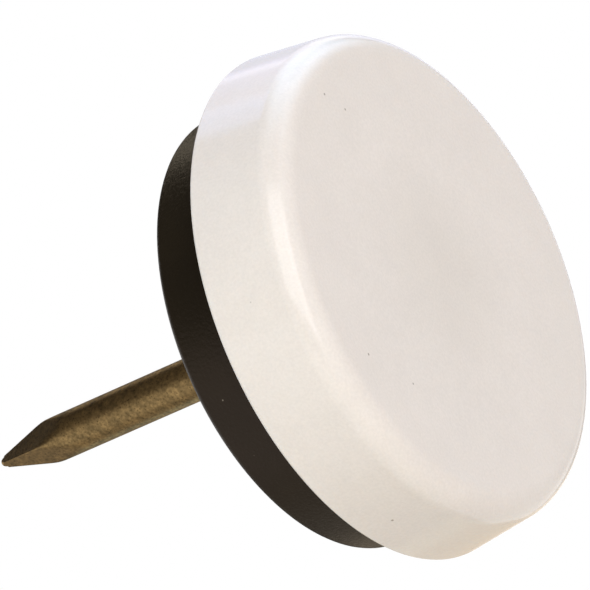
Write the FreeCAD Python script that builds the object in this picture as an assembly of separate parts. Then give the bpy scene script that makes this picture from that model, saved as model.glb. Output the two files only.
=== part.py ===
"""Nail-on furniture glide: a moulded white sole, a black rubber cushion and a plated wire nail.

The glide stands on its sole as it does under a chair leg. The origin is the centre of the sole at floor
level, and +Z runs up the nail, which is driven into the leg. All sizes are in millimetres and degrees.
"""

import FreeCAD
import Part

import math
import os

# Sole: the white disc that slides on the floor
SOLE_DIAMETER = 28.7        # widest edge, next to the cushion
SOLE_HEIGHT = 5.4
SOLE_DRAFT = 7.5            # the side narrows towards the floor by this angle
SOLE_RIM_RADIUS = 1.6       # soft edge between the side and the face
SOLE_BACK_BREAK = 0.2       # broken edge next to the cushion
LAND_WIDTH = 1.5            # flat ring of the face that touches the floor
HOLLOW_DEPTH = 0.15         # the face inside the land slopes in by this much
HOLLOW_FLOOR_DIAMETER = 10.0    # level middle of the face

# Cushion: the black disc between the sole and the leg
CUSHION_DIAMETER = 24.8
CUSHION_HEIGHT = 4.0
CUSHION_EDGE_RADIUS = 0.4
SPIGOT_DIAMETER = 18.0      # plug under the disc that is pressed into the sole
SPIGOT_LENGTH = 2.0
SPIGOT_LEAD = 0.4           # chamfer that starts the plug in its recess
SPIGOT_CLEARANCE = 0.05     # all round, between the plug and its recess

# Nail: its head is held between the sole and the cushion
NAIL_DIAMETER = 2.5
NAIL_REACH = 21.5           # from the top of the cushion to the tip
NECK_SWELL = 0.25           # the wire is this much thicker all round where it is headed, inside the cushion
HEAD_DIAMETER = 8.0
HEAD_THICKNESS = 1.2
HEAD_CLEARANCE = 0.05       # all round, between the head and its pocket
BORE_CLEARANCE = 0.02       # all round, between the neck and the cushion
POINT_HALF_ANGLE = 11.3     # each of the four facets leans to the axis by this angle
TIP_RADIUS = 0.4            # blunt end of the point
FACETS = 4
ARRIS_SHARE = 0.95          # the arrises enter the blunt end at this share of its radius

# Sizes that the pieces share
SEAT_HEIGHT = SOLE_HEIGHT + CUSHION_HEIGHT
RECESS_FLOOR = SOLE_HEIGHT - SPIGOT_LENGTH
HEAD_FLOOR = RECESS_FLOOR - HEAD_THICKNESS
TIP_HEIGHT = SEAT_HEIGHT + NAIL_REACH
NECK_RADIUS = NAIL_DIAMETER / 2 + NECK_SWELL

AXIS = FreeCAD.Vector(0, 0, 1)
ORIGIN = FreeCAD.Vector(0, 0, 0)


def point(radius, height):
    """A point of a turned outline, in the XZ plane."""
    return FreeCAD.Vector(radius, 0, height)


def chain(*points):
    """Straight edges from each point to the next."""
    return [Part.makeLine(a, b) for a, b in zip(points, points[1:])]


def turn(edges):
    """A closed outline turned once round the axis."""
    face = Part.Face(Part.Wire(edges))
    return face.revolve(ORIGIN, AXIS, 360)


def ring_edges(solid, radius, height):
    """The circular edges of a turned solid that have this radius at this height."""
    found = []
    for edge in solid.Edges:
        if edge.Degenerated or not isinstance(edge.Curve, Part.Circle):
            continue
        same_radius = math.isclose(edge.Curve.Radius, radius, abs_tol=1e-4)
        same_height = math.isclose(edge.Curve.Center.z, height, abs_tol=1e-4)
        if same_radius and same_height:
            found.append(edge)
    return found


def make_sole():
    """A drafted disc with a soft rim, a faintly sunk face, and a recess and head pocket in its back."""
    back_radius = SOLE_DIAMETER / 2
    face_radius = back_radius - SOLE_HEIGHT * math.tan(math.radians(SOLE_DRAFT))
    # the rim's round starts where its arc leaves the face
    rim_start = face_radius - SOLE_RIM_RADIUS * math.tan(math.radians(90 - SOLE_DRAFT) / 2)
    land_inner = rim_start - LAND_WIDTH
    recess_radius = SPIGOT_DIAMETER / 2 + SPIGOT_CLEARANCE
    pocket_radius = HEAD_DIAMETER / 2 + HEAD_CLEARANCE

    outline = chain(
        point(0, HOLLOW_DEPTH),
        point(HOLLOW_FLOOR_DIAMETER / 2, HOLLOW_DEPTH),
        point(land_inner, 0),
        point(face_radius, 0),
        point(back_radius, SOLE_HEIGHT),
        point(recess_radius, SOLE_HEIGHT),
        point(recess_radius, RECESS_FLOOR),
        point(pocket_radius, RECESS_FLOOR),
        point(pocket_radius, HEAD_FLOOR),
        point(0, HEAD_FLOOR),
        point(0, HOLLOW_DEPTH),
    )
    sole = turn(outline)
    sole = sole.makeFillet(SOLE_RIM_RADIUS, ring_edges(sole, face_radius, 0))
    return sole.makeChamfer(SOLE_BACK_BREAK, ring_edges(sole, back_radius, SOLE_HEIGHT))


def make_cushion():
    """A plain rubber disc on a plug, bored for the nail."""
    bore_radius = NECK_RADIUS + BORE_CLEARANCE
    spigot_radius = SPIGOT_DIAMETER / 2
    disc_radius = CUSHION_DIAMETER / 2
    outline = chain(
        point(bore_radius, RECESS_FLOOR),
        point(spigot_radius - SPIGOT_LEAD, RECESS_FLOOR),
        point(spigot_radius, RECESS_FLOOR + SPIGOT_LEAD),
        point(spigot_radius, SOLE_HEIGHT),
        point(disc_radius, SOLE_HEIGHT),
        point(disc_radius, SEAT_HEIGHT),
        point(bore_radius, SEAT_HEIGHT),
        point(bore_radius, RECESS_FLOOR),
    )
    cushion = turn(outline)
    return cushion.makeFillet(CUSHION_EDGE_RADIUS, ring_edges(cushion, disc_radius, SEAT_HEIGHT))


def facet_cutter(turn_angle, apex_height):
    """A block whose inner side lies on one facet of the point, from beyond the tip to where it runs out."""
    run = NAIL_DIAMETER / 2 / math.sin(math.radians(POINT_HALF_ANGLE))
    length = run + NAIL_DIAMETER
    block = Part.makeBox(NAIL_DIAMETER, 2 * NAIL_DIAMETER, length, FreeCAD.Vector(0, -NAIL_DIAMETER, -length))
    block.rotate(ORIGIN, FreeCAD.Vector(0, 1, 0), -POINT_HALF_ANGLE)
    block.translate(AXIS * apex_height)
    block.rotate(ORIGIN, AXIS, turn_angle)
    return block


def make_nail():
    """A headed wire nail with a four-sided point, nipped from the wire and blunt at its very end."""
    shank_radius = NAIL_DIAMETER / 2
    head_radius = HEAD_DIAMETER / 2
    dome_height = TIP_HEIGHT - TIP_RADIUS
    half_way = math.radians(45)
    dome = Part.Arc(
        point(TIP_RADIUS, dome_height),
        point(TIP_RADIUS * math.cos(half_way), dome_height + TIP_RADIUS * math.sin(half_way)),
        point(0, TIP_HEIGHT),
    )
    outline = chain(
        point(0, TIP_HEIGHT),
        point(0, HEAD_FLOOR),
        point(head_radius, HEAD_FLOOR),
        point(head_radius, RECESS_FLOOR),
        point(NECK_RADIUS, RECESS_FLOOR),
        point(NECK_RADIUS, SEAT_HEIGHT),
        point(shank_radius, SEAT_HEIGHT),
        point(shank_radius, dome_height),
        point(TIP_RADIUS, dome_height),
    ) + [dome.toShape()]
    nail = turn(outline)
    # the ideal apex of the facets lies above the blunt tip, so that they close just inside its dome
    facet_slope = math.tan(math.radians(POINT_HALF_ANGLE))
    corner_share = 1 / math.cos(math.pi / FACETS)
    apex_height = dome_height + ARRIS_SHARE * TIP_RADIUS / (facet_slope * corner_share)
    for number in range(FACETS):
        turn_angle = (number + 0.5) * 360 / FACETS
        nail = nail.cut(facet_cutter(turn_angle, apex_height))
    return nail


def main():
    pieces = {"sole": make_sole(), "cushion": make_cushion(), "nail": make_nail()}
    os.makedirs("parts", exist_ok=True)
    for name, shape in pieces.items():
        shape.exportStep(f"parts/{name}.step")
        print(name, "valid", shape.isValid(), "solids", len(shape.Solids), "volume", round(shape.Volume, 2))


main()
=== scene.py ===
"""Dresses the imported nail-on furniture glide: its pieces, their finishes and the stage it is shown on."""

import math

import bmesh
import bpy
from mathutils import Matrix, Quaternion, Vector


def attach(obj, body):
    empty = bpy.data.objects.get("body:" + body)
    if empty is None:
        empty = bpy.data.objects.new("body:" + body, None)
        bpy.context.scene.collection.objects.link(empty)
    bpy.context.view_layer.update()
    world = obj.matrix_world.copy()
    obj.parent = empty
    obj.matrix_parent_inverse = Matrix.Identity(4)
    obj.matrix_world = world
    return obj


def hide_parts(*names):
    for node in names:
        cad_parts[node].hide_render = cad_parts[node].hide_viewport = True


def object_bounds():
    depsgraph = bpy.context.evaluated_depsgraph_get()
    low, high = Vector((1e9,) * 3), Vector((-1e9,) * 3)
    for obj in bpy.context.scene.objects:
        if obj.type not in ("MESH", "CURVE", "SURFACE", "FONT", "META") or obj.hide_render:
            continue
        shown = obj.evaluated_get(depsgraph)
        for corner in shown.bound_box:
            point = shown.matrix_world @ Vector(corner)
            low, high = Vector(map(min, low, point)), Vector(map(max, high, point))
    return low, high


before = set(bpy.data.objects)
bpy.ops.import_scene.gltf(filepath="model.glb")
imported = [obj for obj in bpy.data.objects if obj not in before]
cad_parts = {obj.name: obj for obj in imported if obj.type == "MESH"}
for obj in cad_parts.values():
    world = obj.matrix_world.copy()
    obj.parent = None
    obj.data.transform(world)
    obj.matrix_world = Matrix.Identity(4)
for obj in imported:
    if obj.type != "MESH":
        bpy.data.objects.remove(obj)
CAD_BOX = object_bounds()

bl_info = {
    "name": "Nail-on furniture glide",
    "version": (1, 0, 0),
    "blender": (4, 5, 0),
    "location": "3D View > Sidebar > Glide",
    "description": "Models a nail-on furniture glide and the stage it is shown on",
    "category": "Object",
}

MM = 0.001
STEPS = 160                 # flats round each turned piece, fine enough to look round close up
SHARP = math.radians(32)    # edges that turn more than this stay crisp
TOUCHING = 0.001 * MM       # points nearer than this are one

# a colour Mix node has several sockets of each name, so they are given by number
FACTOR, FIRST, SECOND = 0, 6, 7
MIXED = 2


def linear(hex_colour):
    """An sRGB hex colour as linear red, green and blue."""
    parts = [int(hex_colour[i:i + 2], 16) / 255 for i in (1, 3, 5)]
    return tuple(c / 12.92 if c <= 0.04045 else ((c + 0.055) / 1.055) ** 2.4 for c in parts)


def length(name, description, millimetres):
    """A size that a user would change, kept in metres."""
    return bpy.props.FloatProperty(
        name=name, description=description, default=millimetres * MM, min=0, unit="LENGTH", precision=5
    )


def angle(name, description, degrees):
    """An angle that a user would change, kept in radians."""
    return bpy.props.FloatProperty(
        name=name, description=description, default=math.radians(degrees), subtype="ANGLE"
    )


def colour(name, description, hex_colour):
    """A colour that a user would change, kept as linear values."""
    return bpy.props.FloatVectorProperty(
        name=name, description=description, default=linear(hex_colour), min=0, max=1, size=3, subtype="COLOR"
    )


class GlideSoleSettings(bpy.types.PropertyGroup):
    """The white disc that slides on the floor."""

    diameter: length("Diameter", "Across the widest edge, next to the cushion", 28.7)
    height: length("Height", "From the floor to the cushion", 5.4)
    draft: angle("Draft", "The side narrows towards the floor by this angle", 7.5)
    rim_radius: length("Rim radius", "Soft edge between the side and the face", 1.6)
    back_radius: length("Back radius", "Small round on the edge next to the cushion", 0.2)
    land_width: length("Land width", "Flat ring of the face that touches the floor", 1.5)
    hollow_depth: length("Hollow depth", "How far the face has sunk by its middle", 0.15)
    white: colour("White", "Body of the plastic", "#E9E2DD")
    # painted shade: the middle tone greys the face where the nail's head lies behind the thin translucent wall
    middle: colour("Middle", "Greyer tone where the nail's head lies close behind the face", "#E3DCD6")
    speck: colour("Speck", "Dark grains in the plastic", "#8A7F74")


class GlideCushionSettings(bpy.types.PropertyGroup):
    """The black disc between the sole and the leg."""

    diameter: length("Diameter", "Across the disc", 24.8)
    height: length("Height", "From the sole to the leg", 4.0)
    edge_radius: length("Edge radius", "Round on the edge next to the leg", 0.4)
    foot_radius: length("Foot radius", "Round on the edge next to the sole", 0.12)
    spigot_diameter: length("Plug diameter", "Plug that is pressed into the sole", 18.0)
    spigot_length: length("Plug length", "Depth of the plug in the sole", 2.0)
    spigot_lead: length("Plug lead", "Chamfer at the end of the plug", 0.4)
    spigot_clearance: length("Plug clearance", "All round, between the plug and its recess", 0.05)
    lip: length("Lip", "Thin rubber that closes round the nail over its neck", 0.4)
    black: colour("Black", "Body of the rubber", "#18140B")
    bloom: colour("Bloom", "Greyer cast where the rubber has bloomed", "#1D180E")
    dust: colour("Dust", "Pale grains that cling to the rubber", "#6E675C")


class GlideNailSettings(bpy.types.PropertyGroup):
    """The wire nail whose head is held between the sole and the cushion."""

    diameter: length("Diameter", "Across the wire", 2.5)
    reach: length("Reach", "From the top of the cushion to the tip", 21.5)
    neck_swell: length("Neck swell", "Extra radius of the wire inside the cushion", 0.25)
    bore_clearance: length("Bore clearance", "All round, between the neck and the cushion", 0.02)
    head_diameter: length("Head diameter", "Across the hidden head", 8.0)
    head_thickness: length("Head thickness", "Through the hidden head", 1.2)
    head_clearance: length("Head clearance", "All round, between the head and its pocket", 0.05)
    point_half_angle: angle("Point half angle", "Lean of each facet of the point to the axis", 11.3)
    point_overrun: length("Point overrun", "How far the facets' ideal apex lies beyond the blunt tip", 0.945)
    point_length: length("Point length", "Stretch of the wire that the point is pressed from", 7.0)
    tip_radius: length("Tip radius", "Round of the blunt tip", 0.26)
    brass: colour("Brass", "Bright plating", "#9B8055")
    tarnish: colour("Tarnish", "Dulled brown plating", "#6C5A3C")
    fleck: colour("Fleck", "Dark flecks in the plating", "#3F3220")


def add_node(tree, kind, inputs=None, **settings):
    """One node with its settings; an input is given a value, or the socket that is linked to it."""
    node = tree.nodes.new(kind)
    for key, value in settings.items():
        setattr(node, key, value)
    for key, value in (inputs or {}).items():
        if isinstance(value, bpy.types.NodeSocket):
            tree.links.new(value, node.inputs[key])
        else:
            node.inputs[key].default_value = value
    return node


def new_material(name):
    """An empty node material with its output and an Object coordinate."""
    material = bpy.data.materials.new(name)
    material.use_nodes = True
    tree = material.node_tree
    tree.nodes.clear()
    output = add_node(tree, "ShaderNodeOutputMaterial")
    place = add_node(tree, "ShaderNodeTexCoord").outputs["Object"]
    return material, tree, output, place


def per_mm(millimetres):
    """The scale that gives a pattern this spacing."""
    return 1 / (millimetres * MM)


def grains(tree, place, spacing_mm, radius_mm, share):
    """A mask of round grains cut by the surface, in a share of the cells of this spacing."""
    core = 0.6      # share of a grain's radius that is solid, before its edge fades
    cells = add_node(
        tree, "ShaderNodeTexVoronoi", {"Vector": place, "Scale": per_mm(spacing_mm), "Randomness": 1.0}
    )
    inside = add_node(
        tree, "ShaderNodeMapRange",
        {
            "Value": cells.outputs["Distance"],
            "From Min": core * radius_mm / spacing_mm, "From Max": radius_mm / spacing_mm,
            "To Min": 1.0, "To Max": 0.0,
        },
    )
    chance = add_node(tree, "ShaderNodeSeparateColor", {"Color": cells.outputs["Color"]})
    chosen = add_node(
        tree, "ShaderNodeMath", {0: chance.outputs["Red"], 1: share}, operation="LESS_THAN"
    )
    return add_node(
        tree, "ShaderNodeMath", {0: inside.outputs["Result"], 1: chosen.outputs[0]}, operation="MULTIPLY"
    ).outputs[0]


def moulded_polyethylene(settings):
    """White polyethylene, injection moulded: satin, faintly waxy and deep, with a soft cloudy white."""
    material, tree, output, place = new_material("injection-moulded white polyethylene")
    flat = add_node(tree, "ShaderNodeVectorMath", {0: place, 1: (1, 1, 0)}, operation="MULTIPLY")
    radius = add_node(tree, "ShaderNodeVectorMath", {0: flat.outputs[0]}, operation="LENGTH")
    # painted shade: the nail's head, 8 mm across behind a thin translucent wall, would dim the light in the
    # middle of the face, so a greyer tone is painted there
    middle = add_node(
        tree, "ShaderNodeMapRange",
        {
            "Value": radius.outputs["Value"], "From Min": 1.0 * MM, "From Max": 7.5 * MM,
            "To Min": 1.0, "To Max": 0.0,
        },
        interpolation_type="SMOOTHSTEP",
    )
    shaded_middle = add_node(
        tree, "ShaderNodeMix",
        {FACTOR: middle.outputs["Result"], FIRST: (*settings.white, 1), SECOND: (*settings.middle, 1)},
        data_type="RGBA",
    )
    # cloudiness of the melt, a few millimetres across
    cloud = add_node(
        tree, "ShaderNodeTexNoise", {"Vector": place, "Scale": per_mm(5), "Detail": 8.0, "Roughness": 0.7}
    )
    cloud_value = add_node(
        tree, "ShaderNodeMapRange",
        {"Value": cloud.outputs["Fac"], "From Min": 0.3, "From Max": 0.7, "To Min": 0.965, "To Max": 1.025},
    )
    # grain of the pigment, drawn at 0.15 mm so that it shows
    pigment = add_node(tree, "ShaderNodeTexNoise", {"Vector": place, "Scale": per_mm(0.15), "Detail": 2.0})
    pigment_value = add_node(
        tree, "ShaderNodeMapRange",
        {"Value": pigment.outputs["Fac"], "From Min": 0.3, "From Max": 0.7, "To Min": 0.97, "To Max": 1.03},
    )
    shade = add_node(
        tree, "ShaderNodeMath", {0: cloud_value.outputs["Result"], 1: pigment_value.outputs["Result"]},
        operation="MULTIPLY",
    )
    clouded = add_node(
        tree, "ShaderNodeVectorMath", {0: shaded_middle.outputs[MIXED], 1: shade.outputs[0]}, operation="MULTIPLY"
    )
    # sparse dark grains up to 0.18 mm wide
    specks = grains(tree, place, spacing_mm=1.2, radius_mm=0.09, share=0.14)
    speck_share = add_node(tree, "ShaderNodeMath", {0: specks, 1: 0.7}, operation="MULTIPLY")
    specked = add_node(
        tree, "ShaderNodeMix",
        {FACTOR: speck_share.outputs[0], FIRST: clouded.outputs[0], SECOND: (*settings.speck, 1)},
        data_type="RGBA",
    )
    # the mould's polish isn't quite even, drawn at 0.45 mm so that it shows
    skin = add_node(tree, "ShaderNodeTexNoise", {"Vector": place, "Scale": per_mm(0.45), "Detail": 4.0})
    rough = add_node(
        tree, "ShaderNodeMapRange", {"Value": skin.outputs["Fac"], "To Min": 0.12, "To Max": 0.2}
    )
    bump = add_node(
        tree, "ShaderNodeBump", {"Height": skin.outputs["Fac"], "Strength": 0.12, "Distance": 0.05 * MM}
    )
    shader = add_node(
        tree, "ShaderNodeBsdfPrincipled",
        {
            "Base Color": specked.outputs[MIXED], "Roughness": rough.outputs["Result"],
            "Normal": bump.outputs[0],
            "IOR": 1.51, "Subsurface Weight": 0.25, "Subsurface Radius": (1.0, 0.85, 0.7),
            "Subsurface Scale": 0.9 * MM,
        },
    )
    tree.links.new(shader.outputs[0], output.inputs["Surface"])
    return material


def moulded_rubber(settings):
    """Black rubber, compression moulded: matt and warm black, with a fine grain, bloom and clinging dust."""
    material, tree, output, place = new_material("compression-moulded black rubber")
    # bloom in patches a few millimetres across
    bloom = add_node(tree, "ShaderNodeTexNoise", {"Vector": place, "Scale": per_mm(3.5), "Detail": 4.0})
    bloom_share = add_node(
        tree, "ShaderNodeMapRange", {"Value": bloom.outputs["Fac"], "From Min": 0.4, "From Max": 0.7}
    )
    bloomed = add_node(
        tree, "ShaderNodeMix",
        {FACTOR: bloom_share.outputs["Result"], FIRST: (*settings.black, 1), SECOND: (*settings.bloom, 1)},
        data_type="RGBA",
    )
    # dust about 0.1 mm wide
    dust = grains(tree, place, spacing_mm=0.8, radius_mm=0.06, share=0.16)
    dusted = add_node(
        tree, "ShaderNodeMix",
        {FACTOR: dust, FIRST: bloomed.outputs[MIXED], SECOND: (*settings.dust, 1)},
        data_type="RGBA",
    )
    # grain of the mould, drawn at 0.2 mm so that it shows
    grain = add_node(
        tree, "ShaderNodeTexNoise", {"Vector": place, "Scale": per_mm(0.2), "Detail": 3.0, "Roughness": 0.6}
    )
    rough = add_node(
        tree, "ShaderNodeMapRange", {"Value": grain.outputs["Fac"], "To Min": 0.28, "To Max": 0.44}
    )
    bump = add_node(
        tree, "ShaderNodeBump", {"Height": grain.outputs["Fac"], "Strength": 0.5, "Distance": 0.05 * MM}
    )
    shader = add_node(
        tree, "ShaderNodeBsdfPrincipled",
        {
            "Base Color": dusted.outputs[MIXED], "Roughness": rough.outputs["Result"],
            "Normal": bump.outputs[0],
            "IOR": 1.5, "Specular IOR Level": 0.28, "Specular Tint": (*linear("#FFE0D2"), 1),
        },
    )
    tree.links.new(shader.outputs[0], output.inputs["Surface"])
    return material


def plated_wire(settings):
    """Steel wire, brass plated and handled: dull yellow metal, mottled with tarnish and finely pitted."""
    material, tree, output, place = new_material("brass-plated steel wire")
    # blots of tarnish about 0.6 mm across
    mottle = add_node(
        tree, "ShaderNodeTexNoise", {"Vector": place, "Scale": per_mm(0.6), "Detail": 8.0, "Roughness": 0.75}
    )
    tarnish_share = add_node(
        tree, "ShaderNodeMapRange", {"Value": mottle.outputs["Fac"], "From Min": 0.36, "From Max": 0.64}
    )
    tarnished = add_node(
        tree, "ShaderNodeMix",
        {FACTOR: tarnish_share.outputs["Result"], FIRST: (*settings.brass, 1), SECOND: (*settings.tarnish, 1)},
        data_type="RGBA",
    )
    # grain of the plating, drawn at 0.18 mm so that it shows
    grain = add_node(tree, "ShaderNodeTexNoise", {"Vector": place, "Scale": per_mm(0.18), "Detail": 3.0})
    grain_shade = add_node(
        tree, "ShaderNodeMapRange",
        {"Value": grain.outputs["Fac"], "From Min": 0.3, "From Max": 0.7, "To Min": 0.72, "To Max": 1.28},
    )
    grainy = add_node(
        tree, "ShaderNodeMix",
        {FACTOR: 1.0, FIRST: tarnished.outputs[MIXED], SECOND: grain_shade.outputs["Result"]},
        data_type="RGBA", blend_type="MULTIPLY",
    )
    # pits about 0.1 mm wide
    pits = grains(tree, place, spacing_mm=0.17, radius_mm=0.05, share=0.6)
    pit_share = add_node(tree, "ShaderNodeMath", {0: pits, 1: 0.6}, operation="MULTIPLY")
    pitted = add_node(
        tree, "ShaderNodeMix",
        {FACTOR: pit_share.outputs[0], FIRST: grainy.outputs[MIXED], SECOND: (*settings.fleck, 1)},
        data_type="RGBA",
    )
    rough = add_node(
        tree, "ShaderNodeMapRange", {"Value": mottle.outputs["Fac"], "To Min": 0.26, "To Max": 0.5}
    )
    bump = add_node(
        tree, "ShaderNodeBump", {"Height": mottle.outputs["Fac"], "Strength": 0.35, "Distance": 0.05 * MM}
    )
    shader = add_node(
        tree, "ShaderNodeBsdfPrincipled",
        {
            "Base Color": pitted.outputs[MIXED], "Roughness": rough.outputs["Result"],
            "Normal": bump.outputs[0],
            "Metallic": 1.0,
        },
    )
    tree.links.new(shader.outputs[0], output.inputs["Surface"])
    return material


def turned(outline):
    """A bmesh of an outline of (radius, height) points turned once round the nail's axis."""
    bm = bmesh.new()
    verts = [bm.verts.new((radius, 0, height)) for radius, height in outline]
    edges = [bm.edges.new(pair) for pair in zip(verts, verts[1:])]
    bmesh.ops.spin(
        bm, geom=verts + edges, cent=(0, 0, 0), axis=(0, 0, 1), angle=2 * math.pi, steps=STEPS, use_merge=True
    )
    bmesh.ops.remove_doubles(bm, verts=bm.verts, dist=TOUCHING)
    bmesh.ops.recalc_face_normals(bm, faces=bm.faces)
    return bm


def ring(bm, radius, height):
    """The edges of a turned bmesh that go round at this radius and height."""
    def on_ring(vert):
        return abs(vert.co.xy.length - radius) < TOUCHING and abs(vert.co.z - height) < TOUCHING

    return [edge for edge in bm.edges if all(on_ring(vert) for vert in edge.verts)]


def round_edges(bm, edges, offset, segments):
    """Rounds these edges off; that there are none means that the sizes don't fit the outline."""
    if not edges:
        raise RuntimeError("no edge to round")
    bmesh.ops.bevel(
        bm, geom=edges, offset=offset, offset_type="OFFSET", affect="EDGES", segments=segments, profile=0.5,
        material=-1, clamp_overlap=True,
    )


def link_mesh(bm, name, material):
    """Links the bmesh to the scene as an object at the origin."""
    mesh = bpy.data.meshes.new(name)
    bm.to_mesh(mesh)
    bm.free()
    mesh.materials.append(material)
    made = bpy.data.objects.new(name, mesh)
    bpy.context.scene.collection.objects.link(made)
    return made


def finish_piece(bm, name, material):
    """The bmesh as a smooth-shaded object that stands for the CAD node of this name."""
    for face in bm.faces:
        face.smooth = True
    for edge in bm.edges:
        edge.smooth = edge.calc_face_angle(0) < SHARP
    piece = link_mesh(bm, f"{name}_finished", material)
    # large flats keep their own normal beside the small rounds
    weighted = piece.modifiers.new("even shading", "WEIGHTED_NORMAL")
    weighted.keep_sharp = True
    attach(piece, "root")
    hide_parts(name)


class GLIDE_OT_make_sole(bpy.types.Operator):
    """Turns the white sole, with its soft rim, its faintly sunk face and the recess for the cushion"""

    bl_idname = "glide.make_sole"
    bl_label = "Make the sole"

    def execute(self, context):
        sole = context.scene.glide_sole
        cushion = context.scene.glide_cushion
        nail = context.scene.glide_nail
        back = sole.diameter / 2
        face = back - sole.height * math.tan(sole.draft)
        rim_tangent = sole.rim_radius * math.tan((math.pi / 2 - sole.draft) / 2)
        land_inner = face - rim_tangent - sole.land_width
        recess = cushion.spigot_diameter / 2 + cushion.spigot_clearance
        recess_floor = sole.height - cushion.spigot_length
        pocket = nail.head_diameter / 2 + nail.head_clearance
        pocket_floor = recess_floor - nail.head_thickness
        # the face sinks as a shallow bowl
        dish_rings = 9
        dish = []
        for number in range(dish_rings + 1):
            share = number / dish_rings
            dish.append((land_inner * share, sole.hollow_depth * (1 - share ** 2)))
        outline = dish + [
            (face, 0), (back, sole.height), (recess, sole.height), (recess, recess_floor),
            (pocket, recess_floor), (pocket, pocket_floor), (0, pocket_floor),
        ]
        bm = turned(outline)
        round_edges(bm, ring(bm, face, 0), rim_tangent, segments=12)
        round_edges(bm, ring(bm, back, sole.height), sole.back_radius, segments=5)
        finish_piece(bm, "sole", moulded_polyethylene(sole))
        return {"FINISHED"}


class GLIDE_OT_make_cushion(bpy.types.Operator):
    """Turns the rubber cushion with its plug and its bore"""

    bl_idname = "glide.make_cushion"
    bl_label = "Make the cushion"

    def execute(self, context):
        sole = context.scene.glide_sole
        cushion = context.scene.glide_cushion
        nail = context.scene.glide_nail
        bore = nail.diameter / 2 + nail.neck_swell + nail.bore_clearance
        disc = cushion.diameter / 2
        plug = cushion.spigot_diameter / 2
        seat = sole.height + cushion.height
        plug_end = sole.height - cushion.spigot_length
        lip_bore = nail.diameter / 2 + nail.bore_clearance
        lip_floor = seat - cushion.lip
        outline = [
            (bore, plug_end), (plug - cushion.spigot_lead, plug_end), (plug, plug_end + cushion.spigot_lead),
            (plug, sole.height), (disc, sole.height), (disc, seat), (lip_bore, seat), (lip_bore, lip_floor),
            (bore, lip_floor), (bore, plug_end),
        ]
        bm = turned(outline)
        round_edges(bm, ring(bm, disc, seat), cushion.edge_radius, segments=6)
        round_edges(bm, ring(bm, disc, sole.height), cushion.foot_radius, segments=3)
        finish_piece(bm, "cushion", moulded_rubber(cushion))
        return {"FINISHED"}


def pressed_radius(nail, around, depth):
    """Radius of the point in one direction and depth: wire, four facets and round tip, blended."""
    crispness = 24      # the higher, the less the limits round each other off
    least_facing = 0.1  # a facet that faces further away sets no limit
    limits = [nail.diameter / 2]
    facet = (depth + nail.point_overrun) * math.tan(nail.point_half_angle)
    for quarter in range(4):
        across = math.cos(around - math.radians(45 + 90 * quarter))
        if across > least_facing:
            limits.append(facet / across)
    if depth < nail.tip_radius:
        limits.append(math.sqrt(max(nail.tip_radius ** 2 - (nail.tip_radius - depth) ** 2, 0)))
    least = min(limits)
    if least == 0:
        return 0
    return least * sum((least / limit) ** crispness for limit in limits) ** (-1 / crispness)


class GLIDE_OT_make_nail(bpy.types.Operator):
    """Turns the headed wire and presses its end to a blunt four-sided point"""

    bl_idname = "glide.make_nail"
    bl_label = "Make the nail"

    def execute(self, context):
        sole = context.scene.glide_sole
        cushion = context.scene.glide_cushion
        nail = context.scene.glide_nail
        shank = nail.diameter / 2
        neck = shank + nail.neck_swell
        head = nail.head_diameter / 2
        seat = sole.height + cushion.height
        head_top = sole.height - cushion.spigot_length
        head_bottom = head_top - nail.head_thickness
        neck_top = seat - cushion.lip - nail.bore_clearance
        tip = seat + nail.reach
        # rings close up towards the tip, where the shape turns fastest
        rings = 56
        crowding = 1.5
        below = [nail.point_length * (1 - number / rings) ** crowding for number in range(rings + 1)]
        outline = [
            (0, head_bottom), (head, head_bottom), (head, head_top), (neck, head_top), (neck, neck_top),
            (shank, neck_top), *((shank, tip - depth) for depth in below), (0, tip),
        ]
        bm = turned(outline)
        for vert in bm.verts:
            depth = tip - vert.co.z
            if depth <= nail.point_length and vert.co.xy.length > 0:
                around = math.atan2(vert.co.y, vert.co.x)
                radius = pressed_radius(nail, around, depth)
                vert.co.xy = (radius * math.cos(around), radius * math.sin(around))
        bmesh.ops.remove_doubles(bm, verts=bm.verts, dist=TOUCHING)
        finish_piece(bm, "nail", plated_wire(nail))
        return {"FINISHED"}


# The photograph's camera: below the floor, looking up at the sole, with the nail lying to the left
CAMERA_PLACE = Vector((1.93, -246.5, -143.1)) * MM
CAMERA_BACK = Vector((0, -0.851, -0.525)).normalized()
CAMERA_ROLL = math.radians(-114.02)
CAMERA_LENS = 330.5         # focal length and sensor width in millimetres
CAMERA_SENSOR = 36
CAMERA_NEAR = 10 * MM       # nothing nearer than this is drawn

# What the white surround lights the object with; to the camera and in reflections it is at full strength
SURROUND_LIGHT = 0.55

# The floor is a sheet of paper just under the sole, which fades out from one distance to another
FLOOR_RADIUS = 120 * MM
FLOOR_SIDES = 64
FLOOR_DROP = 0.1 * MM
FLOOR_FADE = (30 * MM, 110 * MM)
# its glow is weaker near the sole, which paints a soft shadow there
FLOOR_PAINTED_SHADOW = (12 * MM, 24 * MM)
FLOOR_GLOW = (0.3, 0.5)

# Lamps and cards stand round the middle of the object. Their directions run along the picture's right, up and
# towards-the-camera axes, and their distances and sizes are in metres.
LAMP_DISTANCE = 0.40
LAMPS = (
    # name, direction, size, power, colour, whether it is mirrored, and the piece that it is kept to
    ("cool_panel", (-0.52, 0.74, -0.43), 0.11, 0.070, "#B2CAFF", True, "sole"),     # behind the top left
    ("key_lamp", (0.10, 0.53, 0.84), 0.35, 0.87, "#FCFDFF", True, None),            # over the camera
    ("table_fill", (-0.38, -0.38, 0.84), 0.30, 0.305, "#EFFFF2", False, None),      # from the table's left
    ("table_bounce", (0.45, -0.60, 0.66), 0.20, 0.23, "#FFDDB4", False, None),      # and from its right
)
# One more lamp lights views from above, so its place is in the part's own frame
TOP_PANEL_PLACE = Vector((0.03, 0.10, 0.40))
TOP_PANEL_SIZE = 0.30
TOP_PANEL_POWER = 0.28

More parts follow.
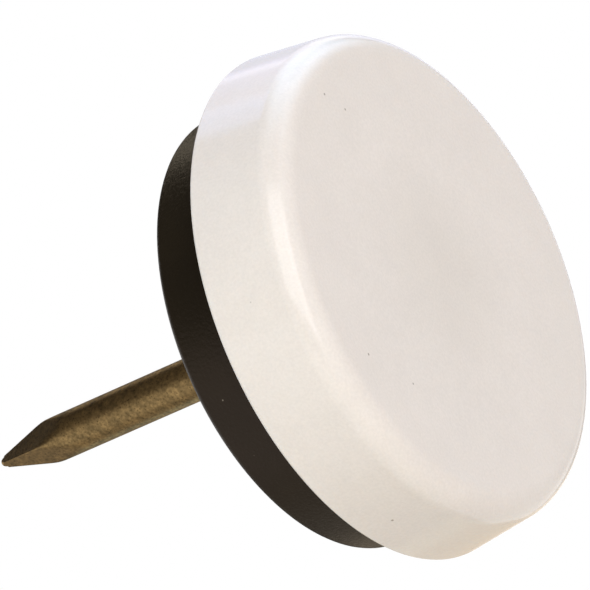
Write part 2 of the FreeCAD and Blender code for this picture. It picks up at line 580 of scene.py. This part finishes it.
# Glows light nothing, and are mirrored by one piece alone, over what lies behind them
GLOW_DISTANCE = 0.38
GLOWS = (
    # name, direction, reach, share of the reach that is even, strength, colour and piece
    # a window overhead, with its gleam, tint, haze and far edge
    ("window_gleam", (0.12, 0.93, -0.33), 0.31, 0.1, 4.2, "#C4E1FF", "sole"),
    ("window_blue", (-0.24, 0.68, -0.69), 0.125, 0.8, 0.36, "#2755FF", "sole"),
    ("window_haze", (-0.34, 0.63, -0.70), 0.12, 0.1, 0.55, "#AECEFF", "sole"),
    ("window_edge", (0.14, 0.52, -0.84), 0.11, 0.1, 0.7, "#DCE6FF", "sole"),
    # the wall behind, which shows along the sole's outline
    ("wall_glow", (-0.03, 0.25, -0.97), 0.185, 0.85, 1.0, "#E8ECFF", "sole"),
    ("wall_edge", (0.42, 0.02, -0.91), 0.17, 0.5, 0.54, "#F2ECE8", "sole"),
    # the table below, in the sole's lower rim and along the lower side of the nail
    ("table_edge", (0.12, -0.34, -0.93), 0.16, 0.6, 0.75, "#FFEACB", "sole"),
    ("table_glow", (0.15, -0.70, -0.70), 0.22, 0.2, 0.45, "#FFF6CC", "sole"),
    ("table_corner", (0.62, -0.38, -0.68), 0.22, 0.1, 0.4, "#FFFDE6", "sole"),
    ("table_sheen", (0.30, -0.83, -0.47), 0.22, 0.4, 0.9, "#CBFDFF", "nail"),
)

# Reflections see a dim room over the front: a ball kept beyond each cut, a direction and a share of the radius
ROOM_RADIUS = 0.6
ROOM_TONE = "#77736E"
ROOM_CUTS = (
    ((0, 1, 0), -0.18),
    ((0, 0, 1), -0.85),
    ((-1, 0, 0), -0.3),
    ((0.1998, -0.6194, 0.7592), -0.927),    # the window behind
)

# They also see round patches of even tone: the sky in the window, dark walls, and the table lit and in shade
CARD_SIDES = 48
PATCHES = (
    # name, direction, distance, radius and tone
    ("pale_sky", (-0.1998, 0.6194, -0.7592), 0.65, 0.32, "#F6EAD1"),
    ("dark_wall", (0, 0, -1), 0.50, 0.31, "#3A3733"),
    ("table_far", (0.25, -0.55, -0.80), 0.36, 0.08, "#F0DEC2"),
    ("dark_foot", (-0.08, -0.58, -0.81), 0.36, 0.063, "#3A3733"),
    ("dark_side", (-0.50, -0.40, -0.77), 0.50, 0.162, "#3A3733"),
    ("dark_corner", (-0.75, 0.41, -0.53), 0.50, 0.162, "#2E2B28"),
    ("table_shade", (0, -0.93, -0.37), 0.38, 0.25, "#C6BFB3"),
)


def picture_axes():
    """The camera's turn, and the picture's right, up and towards-the-camera directions in the part's frame."""
    turn = (-CAMERA_BACK).to_track_quat("-Z", "Y") @ Quaternion((0, 0, 1), CAMERA_ROLL)
    return turn, [turn @ Vector(axis) for axis in ((1, 0, 0), (0, 1, 0), (0, 0, 1))]


def along(axes, direction):
    """A direction of the picture in the part's frame."""
    return sum((share * axis for share, axis in zip(direction, axes)), Vector())


def even_card(name, hex_colour):
    """A card of even tone, as reflections see a dim room or a shaded table."""
    material = bpy.data.materials.new(name)
    material.use_nodes = True
    tree = material.node_tree
    tree.nodes.clear()
    glow = add_node(tree, "ShaderNodeEmission", {"Color": (*linear(hex_colour), 1), "Strength": 1.0})
    add_node(tree, "ShaderNodeOutputMaterial", {"Surface": glow.outputs[0]})
    return material


def glowing_card(name, hex_colour, strength, centre, reach, even_share):
    """A glow, even in the card's middle and gone at its edge, over what lies behind the card."""
    material, tree, output, place = new_material(name)
    distance = add_node(tree, "ShaderNodeVectorMath", {0: place, 1: centre}, operation="DISTANCE")
    fade = add_node(
        tree, "ShaderNodeMapRange",
        {
            "Value": distance.outputs["Value"], "From Min": even_share * reach, "From Max": reach,
            "To Min": strength, "To Max": 0.0,
        },
        interpolation_type="SMOOTHSTEP",
    )
    glow = add_node(
        tree, "ShaderNodeEmission", {"Color": (*linear(hex_colour), 1), "Strength": fade.outputs["Result"]}
    )
    clear = add_node(tree, "ShaderNodeBsdfTransparent")
    both = add_node(tree, "ShaderNodeAddShader", {0: glow.outputs[0], 1: clear.outputs[0]})
    tree.links.new(both.outputs[0], output.inputs["Surface"])
    material.cycles.emission_sampling = "NONE"
    return material


def round_card(radius, facing):
    """A bmesh of a disc that is square to a direction."""
    bm = bmesh.new()
    bmesh.ops.create_circle(bm, cap_ends=True, radius=radius, segments=CARD_SIDES)
    bmesh.ops.rotate(bm, verts=bm.verts, matrix=facing.to_track_quat("Z", "Y").to_matrix())
    return bm


class GLIDE_OT_set_stage(bpy.types.Operator):
    """Sets the camera, the white surround, the floor, the lamps and the cards that the surfaces mirror"""

    bl_idname = "glide.set_stage"
    bl_label = "Set the stage"

    def execute(self, context):
        scene = context.scene
        scene.view_settings.view_transform = "Standard"
        turn, axes = picture_axes()
        middle = (CAD_BOX[0] + CAD_BOX[1]) / 2
        self.add_camera(scene, turn)
        self.add_surround(scene)
        self.add_floor()
        alone = {piece: self.piece_alone(piece) for piece in ("sole", "nail")}
        for name, direction, size, power, tint, mirrored, piece in LAMPS:
            offset = LAMP_DISTANCE * along(axes, direction)
            lamp = self.add_lamp(scene, name, middle, offset, size, power, tint)
            lamp.visible_glossy = mirrored
            if piece:
                lamp.light_linking.receiver_collection = alone[piece]
        self.add_lamp(scene, "top_panel", middle, TOP_PANEL_PLACE, TOP_PANEL_SIZE, TOP_PANEL_POWER, "#FFFFFF")
        for name, direction, reach, even_share, strength, tint, piece in GLOWS:
            facing = along(axes, direction).normalized()
            centre = middle + GLOW_DISTANCE * facing
            glow = glowing_card(name.replace("_", " "), tint, strength, centre, reach, even_share)
            card = self.add_card(name, round_card(reach, facing), centre, glow)
            card.light_linking.receiver_collection = alone[piece]
        self.add_room(axes, middle)
        for name, direction, distance, radius, tone in PATCHES:
            offset = distance * along(axes, direction)
            patch = even_card(name.replace("_", " "), tone)
            self.add_card(name, round_card(radius, offset), middle + offset, patch)
        return {"FINISHED"}

    def piece_alone(self, piece):
        """A collection of one piece, to which a lamp or a glow is kept."""
        alone = bpy.data.collections.new(f"{piece}_alone")
        alone.objects.link(bpy.data.objects[f"{piece}_finished"])
        return alone

    def add_camera(self, scene, turn):
        data = bpy.data.cameras.new("photo_camera")
        data.sensor_width = CAMERA_SENSOR
        data.lens = CAMERA_LENS
        data.clip_start = CAMERA_NEAR
        camera = bpy.data.objects.new("photo_camera", data)
        camera.location = CAMERA_PLACE
        camera.rotation_mode = "QUATERNION"
        camera.rotation_quaternion = turn
        scene.collection.objects.link(camera)
        scene.camera = camera

    def add_surround(self, scene):
        """White to the camera and in reflections, and a plain level of light on the object."""
        world = bpy.data.worlds.new("white_surround")
        world.use_nodes = True
        tree = world.node_tree
        tree.nodes.clear()
        path = add_node(tree, "ShaderNodeLightPath")
        seen = add_node(
            tree, "ShaderNodeMath", {0: path.outputs["Is Camera Ray"], 1: path.outputs["Is Glossy Ray"]},
            operation="MAXIMUM",
        )
        seen = add_node(
            tree, "ShaderNodeMath", {0: seen.outputs[0], 1: path.outputs["Is Transmission Ray"]},
            operation="MAXIMUM",
        )
        plain = add_node(
            tree, "ShaderNodeBackground", {"Color": (*linear("#FFFDFB"), 1), "Strength": SURROUND_LIGHT}
        )
        white = add_node(tree, "ShaderNodeBackground", {"Color": (1, 1, 1, 1), "Strength": 1.0})
        mixed = add_node(
            tree, "ShaderNodeMixShader", {0: seen.outputs[0], 1: plain.outputs[0], 2: white.outputs[0]}
        )
        add_node(tree, "ShaderNodeOutputWorld", {"Surface": mixed.outputs[0]})
        scene.world = world

    def add_floor(self):
        """A pale sheet just under the sole, which shows from above only and fades out round the object."""
        material, tree, output, place = new_material("pale paper floor")
        path = add_node(tree, "ShaderNodeLightPath")
        side = add_node(tree, "ShaderNodeNewGeometry")
        distance = add_node(tree, "ShaderNodeVectorMath", {0: place}, operation="LENGTH")
        fade = add_node(
            tree, "ShaderNodeMapRange",
            {
                "Value": distance.outputs["Value"], "From Min": FLOOR_FADE[0], "From Max": FLOOR_FADE[1],
                "To Min": 1.0, "To Max": 0.0,
            },
            interpolation_type="SMOOTHSTEP",
        )
        above = add_node(tree, "ShaderNodeMath", {0: 1.0, 1: side.outputs["Backfacing"]}, operation="SUBTRACT")
        shown = add_node(
            tree, "ShaderNodeMath", {0: path.outputs["Is Camera Ray"], 1: above.outputs[0]},
            operation="MULTIPLY",
        )
        shown = add_node(
            tree, "ShaderNodeMath", {0: shown.outputs[0], 1: fade.outputs["Result"]}, operation="MULTIPLY"
        )
        clear = add_node(tree, "ShaderNodeBsdfTransparent")
        # a glow lifts the paper to white, and is weaker round the foot of the sole as a painted soft shadow
        lift = add_node(
            tree, "ShaderNodeMapRange",
            {
                "Value": distance.outputs["Value"], "From Min": FLOOR_PAINTED_SHADOW[0], "From Max": FLOOR_PAINTED_SHADOW[1],
                "To Min": FLOOR_GLOW[0], "To Max": FLOOR_GLOW[1],
            },
            interpolation_type="SMOOTHSTEP",
        )
        paper = add_node(tree, "ShaderNodeBsdfDiffuse", {"Color": (*linear("#CBCAC8"), 1)})
        glow = add_node(tree, "ShaderNodeEmission", {"Color": (1, 1, 1, 1), "Strength": lift.outputs["Result"]})
        lifted = add_node(tree, "ShaderNodeAddShader", {0: paper.outputs[0], 1: glow.outputs[0]})
        mixed = add_node(
            tree, "ShaderNodeMixShader", {0: shown.outputs[0], 1: clear.outputs[0], 2: lifted.outputs[0]}
        )
        tree.links.new(mixed.outputs[0], output.inputs["Surface"])
        bm = bmesh.new()
        bmesh.ops.create_circle(bm, cap_ends=True, radius=FLOOR_RADIUS, segments=FLOOR_SIDES)
        bmesh.ops.translate(bm, verts=bm.verts, vec=(0, 0, -FLOOR_DROP))
        link_mesh(bm, "floor", material)

    def add_lamp(self, scene, name, target, offset, size, power, hex_colour):
        """A square lamp that faces its target and isn't seen itself."""
        data = bpy.data.lights.new(name, "AREA")
        data.shape = "SQUARE"
        data.size = size
        data.energy = power
        data.color = linear(hex_colour)
        lamp = bpy.data.objects.new(name, data)
        lamp.location = target + offset
        lamp.rotation_mode = "QUATERNION"
        lamp.rotation_quaternion = (-offset).to_track_quat("-Z", "Y")
        lamp.visible_camera = False
        scene.collection.objects.link(lamp)
        return lamp

    def add_room(self, axes, middle):
        """The dim room that reflections see over the front of the object."""
        bm = bmesh.new()
        bmesh.ops.create_uvsphere(bm, u_segments=CARD_SIDES, v_segments=CARD_SIDES // 2, radius=ROOM_RADIUS)
        for direction, share in ROOM_CUTS:
            kept = along(axes, direction)
            bmesh.ops.bisect_plane(
                bm, geom=bm.verts[:] + bm.edges[:] + bm.faces[:], plane_co=ROOM_RADIUS * share * kept,
                plane_no=kept, clear_inner=True,
            )
        self.add_card("dim_room", bm, middle, even_card("dim backdrop cloth", ROOM_TONE))

    def add_card(self, name, bm, place, material):
        """Links a card that shows only in reflections."""
        bmesh.ops.translate(bm, verts=bm.verts, vec=place)
        card = link_mesh(bm, name, material)
        card.visible_camera = False
        card.visible_diffuse = False
        card.visible_shadow = False
        card.visible_transmission = False
        return card


class GLIDE_PT_panel(bpy.types.Panel):
    """Lists the glide's pieces and their sizes"""

    bl_idname = "GLIDE_PT_panel"
    bl_label = "Furniture glide"
    bl_space_type = "VIEW_3D"
    bl_region_type = "UI"
    bl_category = "Glide"

    def draw(self, context):
        layout = self.layout
        for operator in OPERATORS:
            layout.operator(operator.bl_idname)
        for settings in (context.scene.glide_sole, context.scene.glide_cushion, context.scene.glide_nail):
            box = layout.box()
            for name in settings.__annotations__:
                box.prop(settings, name)


SETTINGS = {
    "glide_sole": GlideSoleSettings,
    "glide_cushion": GlideCushionSettings,
    "glide_nail": GlideNailSettings,
}
OPERATORS = (GLIDE_OT_make_sole, GLIDE_OT_make_cushion, GLIDE_OT_make_nail, GLIDE_OT_set_stage)
CLASSES = (*SETTINGS.values(), *OPERATORS, GLIDE_PT_panel)


def register():
    for cls in CLASSES:
        bpy.utils.register_class(cls)
    for name, settings in SETTINGS.items():
        setattr(bpy.types.Scene, name, bpy.props.PointerProperty(type=settings))


def unregister():
    for name in SETTINGS:
        delattr(bpy.types.Scene, name)
    for cls in reversed(CLASSES):
        bpy.utils.unregister_class(cls)


def main():
    register()
    bpy.ops.glide.make_sole()
    bpy.ops.glide.make_cushion()
    bpy.ops.glide.make_nail()
    bpy.ops.glide.set_stage()


if __name__ == "__main__":
    main()
